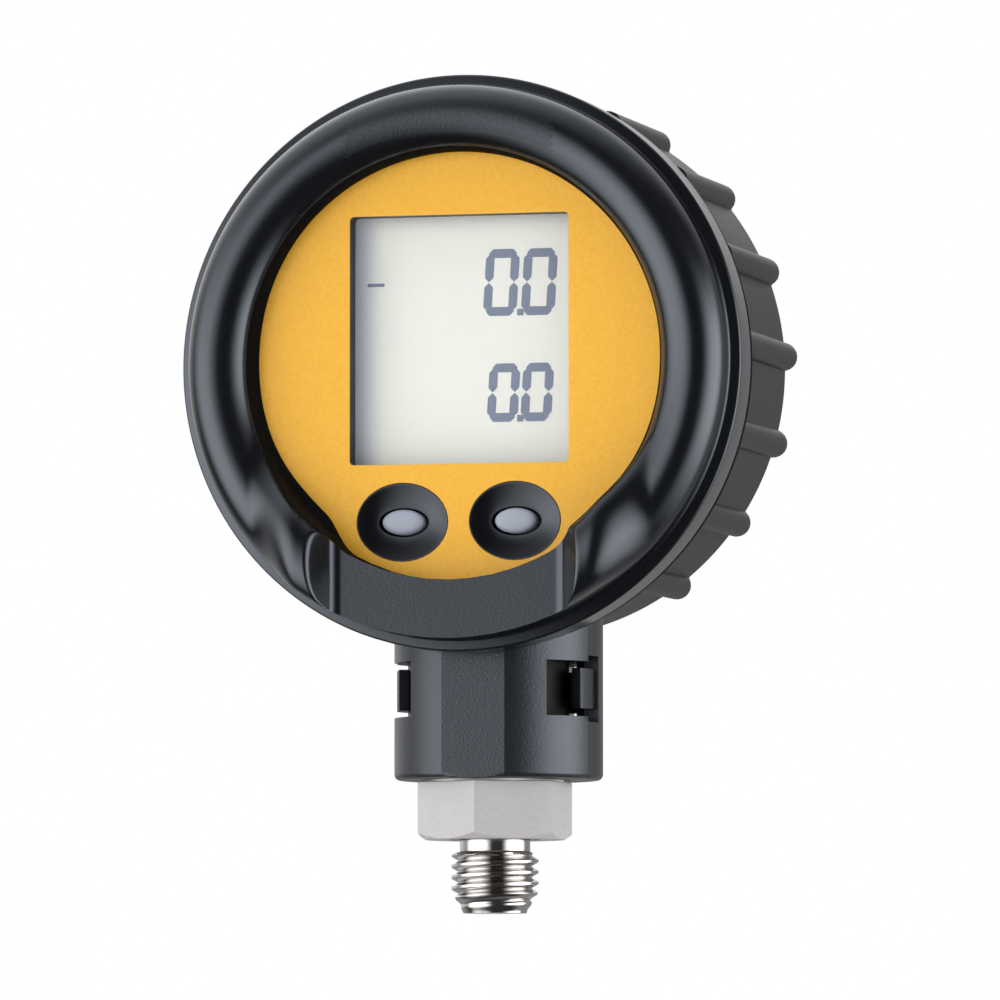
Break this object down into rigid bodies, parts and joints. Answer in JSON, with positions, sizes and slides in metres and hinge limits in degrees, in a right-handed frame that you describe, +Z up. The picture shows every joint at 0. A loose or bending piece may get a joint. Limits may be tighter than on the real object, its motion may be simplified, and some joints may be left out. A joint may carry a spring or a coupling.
{
  "type": "digital pressure gauge",
  "caption": "Round digital pressure gauge: swivelling ribbed head with display and two push buttons, on a hexagon connection with a male thread below.",
  "frame": {"origin": "on the axis of the process connection, in the plane of the hexagon's sealing face", "axes": "+Z up along the connection towards the head, -Y out of the display, +X to the right of a reader who faces the display"},
  "size_m": [0.078, 0.0487, 0.113],
  "materials": {
    "stainless": "satin, finely turned",
    "white_plastic": "matte",
    "black_rubber": "matte",
    "spring_steel": "plain",
    "sensor_ceramic": "matte",
    "board_green": "solder mask",
    "sleeve_black": "matte",
    "housing_slate": "fine moulded grain",
    "bezel_black": "soft satin gloss",
    "label_yellow": "satin with fine sparkle",
    "frame_black": "matte",
    "window_clear": "clear, thin",
    "lcd_glass": "pale grey reflective display",
    "segment_dark": "dark blue grey",
    "dish_black": "smooth",
    "button_pale": "smooth, pale blue grey",
    "chip_black": "matte",
    "component_metal": "plain",
    "lead_grey": "matte",
    "cell_steel": "bright",
    "contact_brass": "plated",
    "cover_slate": "fine moulded grain"
  },
  "bodies": {
    "connection": {"process_connection": "stainless", "thrust_washer": "white_plastic", "swivel_o_ring": "black_rubber", "retaining_clip": "spring_steel", "stop_pin": "spring_steel", "sensor_seal": "black_rubber", "sensor_cell": "sensor_ceramic", "sensor_retaining_ring": "stainless", "sensor_board": "board_green"},
    "button_left": {"button_left": "button_pale"},
    "button_right": {"button_right": "button_pale"},
    "cover_seal": {"battery_cover_seal": "black_rubber"},
    "cover": {"battery_cover": "cover_slate"},
    "housing": {"bearing_sleeve": "sleeve_black", "front_housing": "housing_slate", "rear_housing": "housing_slate", "housing_seal": "black_rubber", "front_bezel": "bezel_black", "label_disc": "label_yellow", "lcd_frame": "frame_black", "display_window": "window_clear", "lcd_panel": "lcd_glass", "lcd_segments": "segment_dark", "lcd_reflector": "white_plastic", "lcd_connector": "black_rubber", "button_dishes": "dish_black", "circuit_board": "board_green", "tactile_switches": "chip_black", "microcontroller": "chip_black", "board_components": "component_metal", "board_screws": "spring_steel", "sensor_lead": "lead_grey", "battery": "cell_steel", "battery_contact_positive": "contact_brass", "battery_contact_negative": "contact_brass", "housing_screws": "spring_steel", "vent_plug": "frame_black"}
  },
  "joints": [
    {"name": "housing_swivel", "type": "hinge", "parent": "connection", "child": "housing", "pos_m": [0, 0, 0], "axis": [0, 0, 1], "range_deg": [-165, 165]},
    {"name": "button_left_press", "type": "slide", "parent": "housing", "child": "button_left", "axis": [0, 1, 0], "range_m": [0, 0.0006], "stiffness_N_per_m": 2500},
    {"name": "button_right_press", "type": "slide", "parent": "housing", "child": "button_right", "axis": [0, 1, 0], "range_m": [0, 0.0006], "stiffness_N_per_m": 2500},
    {"name": "battery_cover_lift", "type": "slide", "parent": "housing", "child": "cover_seal", "axis": [0, 1, 0], "range_m": [0, 0.003]},
    {"name": "battery_cover_turn", "type": "hinge", "parent": "cover_seal", "child": "cover", "pos_m": [0, 0.0202, 0.0649], "axis": [0, 1, 0], "range_deg": [0, 541]}
  ],
  "couplings": [
    {"joint": "battery_cover_turn", "follows": "battery_cover_lift", "rad_per_m": 3141.6}
  ]
}
